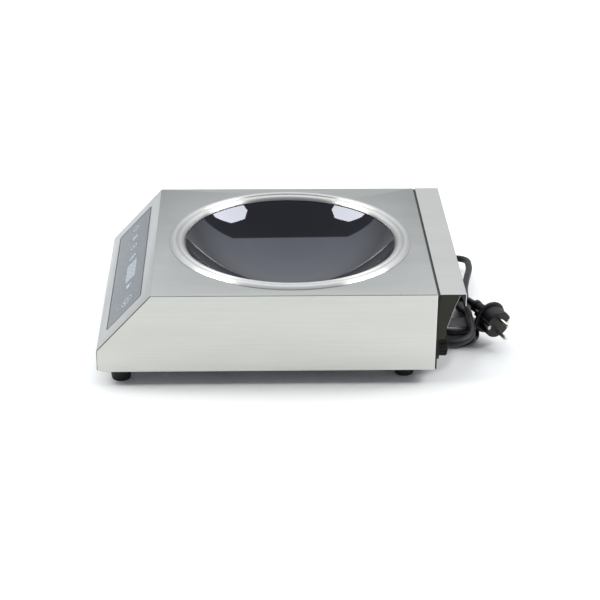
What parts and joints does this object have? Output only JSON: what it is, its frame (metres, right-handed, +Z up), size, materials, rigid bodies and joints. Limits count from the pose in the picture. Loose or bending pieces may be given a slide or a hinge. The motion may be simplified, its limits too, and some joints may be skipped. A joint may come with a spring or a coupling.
{
  "type": "wok induction hob",
  "caption": "Countertop wok induction hob with a sloped touch panel, a round glass bowl in a polished ring, rear air outlet hood, base fans, rubber feet and a tied mains lead.",
  "frame": {"origin": "on the floor under the middle of the housing", "axes": "+X to the user's right, +Y to the rear, +Z up; the control panel faces the user at -Y"},
  "size_m": [0.3508, 0.5161, 0.1235],
  "materials": {
    "brushed_steel": "brushed stainless sheet",
    "polished_steel": "polished pressed stainless",
    "galvanised_sheet": "plain zinc coated sheet",
    "dark_sheet": "dark olive painted sheet",
    "silicone": "matte",
    "black_glass": "gloss black glass ceramic",
    "mica": "matte mica sheet",
    "copper": null,
    "black_plastic": "matte",
    "aluminium": "plain",
    "spring_steel": "plain wire",
    "panel_glass": "gloss overlay",
    "display_glass": "gloss",
    "key_glass": "gloss overlay",
    "circuit_board": "solder mask",
    "component": "epoxy case",
    "ferrite": "matte",
    "cord_sheath": "satin",
    "strap": "satin",
    "plug_rubber": "satin moulded",
    "nickel": "nickel plated",
    "foot_rubber": "matte",
    "screw_steel": "zinc plated"
  },
  "bodies": {
    "housing": {"housing_shell": "brushed_steel", "rear_hood": "brushed_steel", "panel_frame": "dark_sheet", "base_plate": "galvanised_sheet", "back_plate": "dark_sheet", "air_deflector": "dark_sheet", "bowl_ring": "polished_steel", "bowl_seal": "silicone", "glass_bowl": "black_glass", "mica_sheet": "mica", "induction_coil": "copper", "coil_carrier": "black_plastic", "sensor_holder": "black_plastic", "sensor_spring": "spring_steel", "control_panel": "panel_glass", "display_window": "display_glass", "control_board": "circuit_board", "display_module": "black_plastic", "main_board": "circuit_board", "heat_sink": "aluminium", "power_transistor": "black_plastic", "bridge_rectifier": "black_plastic", "resonant_capacitor": "component", "filter_capacitor": "component", "choke_coil": "copper", "terminal_block": "black_plastic", "fan_frame_left": "black_plastic", "fan_frame_right": "black_plastic", "cable_gland": "black_plastic", "gland_nut": "black_plastic", "cord_lead": "cord_sheath", "cord_hank": "cord_sheath", "cord_tail": "cord_sheath", "cord_tie": "strap", "plug_body": "plug_rubber", "plug_pin_upper": "nickel", "plug_pin_lower": "nickel", "ferrite_bar_1": "ferrite", "ferrite_bar_2": "ferrite", "ferrite_bar_3": "ferrite", "ferrite_bar_4": "ferrite", "ferrite_bar_5": "ferrite", "ferrite_bar_6": "ferrite", "foot_front_left": "foot_rubber", "foot_screw_front_left": "screw_steel", "foot_front_right": "foot_rubber", "foot_screw_front_right": "screw_steel", "foot_rear_left": "foot_rubber", "foot_screw_rear_left": "screw_steel", "foot_rear_right": "foot_rubber", "foot_screw_rear_right": "screw_steel"},
    "key_timer": {"key_timer": "key_glass"},
    "key_function": {"key_function": "key_glass"},
    "key_minus": {"key_minus": "key_glass"},
    "key_plus": {"key_plus": "key_glass"},
    "key_lock": {"key_lock": "key_glass"},
    "key_power": {"key_power": "key_glass"},
    "fan_left": {"fan_rotor_left": "black_plastic"},
    "fan_right": {"fan_rotor_right": "black_plastic"},
    "sensor": {"temperature_sensor": "aluminium"}
  },
  "joints": [
    {"name": "key_timer_press", "type": "slide", "parent": "housing", "child": "key_timer", "axis": [0, 0.7353, -0.6777], "range_m": [0, 0.0005], "stiffness_N_per_m": 600, "springref_m": -0.001},
    {"name": "key_function_press", "type": "slide", "parent": "housing", "child": "key_function", "axis": [0, 0.7353, -0.6777], "range_m": [0, 0.0005], "stiffness_N_per_m": 600, "springref_m": -0.001},
    {"name": "key_minus_press", "type": "slide", "parent": "housing", "child": "key_minus", "axis": [0, 0.7353, -0.6777], "range_m": [0, 0.0005], "stiffness_N_per_m": 600, "springref_m": -0.001},
    {"name": "key_plus_press", "type": "slide", "parent": "housing", "child": "key_plus", "axis": [0, 0.7353, -0.6777], "range_m": [0, 0.0005], "stiffness_N_per_m": 600, "springref_m": -0.001},
    {"name": "key_lock_press", "type": "slide", "parent": "housing", "child": "key_lock", "axis": [0, 0.7353, -0.6777], "range_m": [0, 0.0005], "stiffness_N_per_m": 600, "springref_m": -0.001},
    {"name": "key_power_press", "type": "slide", "parent": "housing", "child": "key_power", "axis": [0, 0.7353, -0.6777], "range_m": [0, 0.0005], "stiffness_N_per_m": 600, "springref_m": -0.001},
    {"name": "fan_left_spin", "type": "hinge", "parent": "housing", "child": "fan_left", "pos_m": [-0.092, 0.12, 0.033], "axis": [0, 0, 1], "continuous": true},
    {"name": "fan_right_spin", "type": "hinge", "parent": "housing", "child": "fan_right", "pos_m": [0.092, 0.12, 0.033], "axis": [0, 0, 1], "continuous": true},
    {"name": "sensor_press", "type": "slide", "parent": "housing", "child": "sensor", "axis": [0, 0, -1], "range_m": [0, 0.002], "stiffness_N_per_m": 500, "springref_m": -0.002, "deforming": ["sensor_spring"]}
  ]
}
